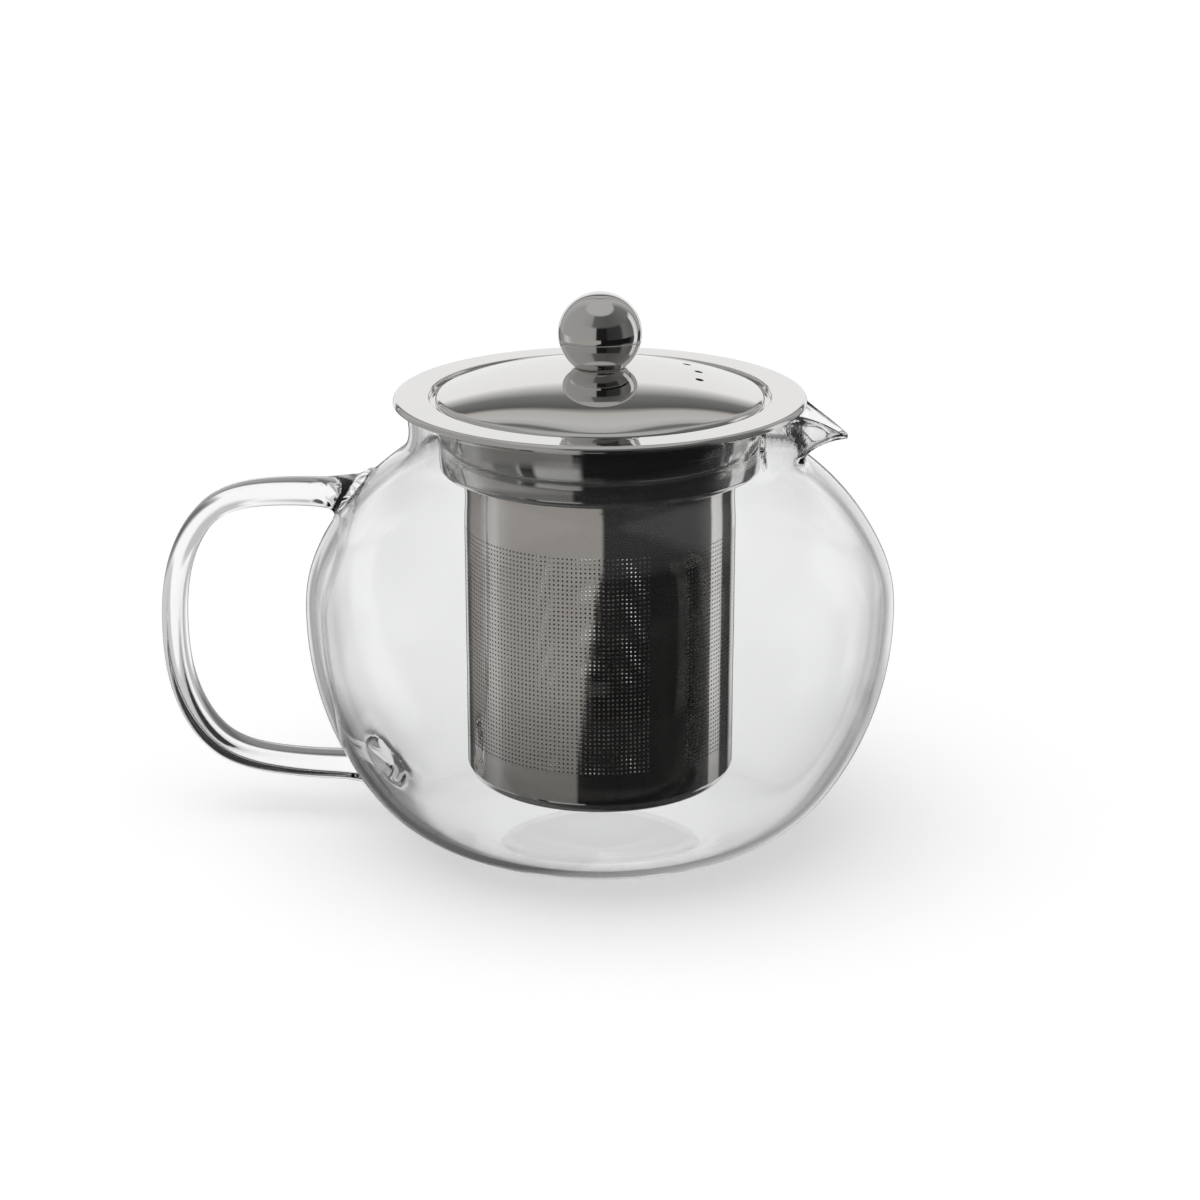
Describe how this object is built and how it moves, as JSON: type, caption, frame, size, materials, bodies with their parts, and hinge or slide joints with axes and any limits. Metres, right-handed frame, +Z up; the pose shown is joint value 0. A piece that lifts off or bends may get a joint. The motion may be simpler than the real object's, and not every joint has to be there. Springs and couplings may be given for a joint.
{
  "type": "glass teapot",
  "caption": "Round blown-glass teapot with a pulled pouring lip and drawn glass handle, a lift-out perforated steel infuser and a domed steel lid with a ball knob.",
  "frame": {"origin": "centre of the flat foot that the pot stands on", "axes": "+Z up along the pot's axis, +X towards the pouring lip, with the handle on -X"},
  "size_m": [0.2341, 0.185, 0.175],
  "materials": {
    "clear_glass": "clear polished borosilicate glass",
    "polished_steel": "mirror-polished stainless steel",
    "perforated_steel": "mirror-polished stainless steel with a fine square perforation",
    "fastener_steel": "plain stainless steel"
  },
  "bodies": {
    "pot": {"glass_foot": "clear_glass", "glass_body": "clear_glass", "glass_neck": "clear_glass", "glass_handle": "clear_glass"},
    "infuser": {"infuser_rim": "polished_steel", "infuser_wall": "perforated_steel", "infuser_base": "perforated_steel"},
    "lid": {"lid_dome": "polished_steel", "lid_knob": "polished_steel", "knob_screw": "fastener_steel", "knob_washer": "fastener_steel"}
  },
  "joints": [
    {"name": "infuser_lift", "type": "slide", "parent": "pot", "child": "infuser", "axis": [0, 0, 1], "range_m": [0, 0.15]},
    {"name": "lid_lift", "type": "slide", "parent": "infuser", "child": "lid", "axis": [0, 0, 1], "range_m": [0, 0.06]}
  ]
}
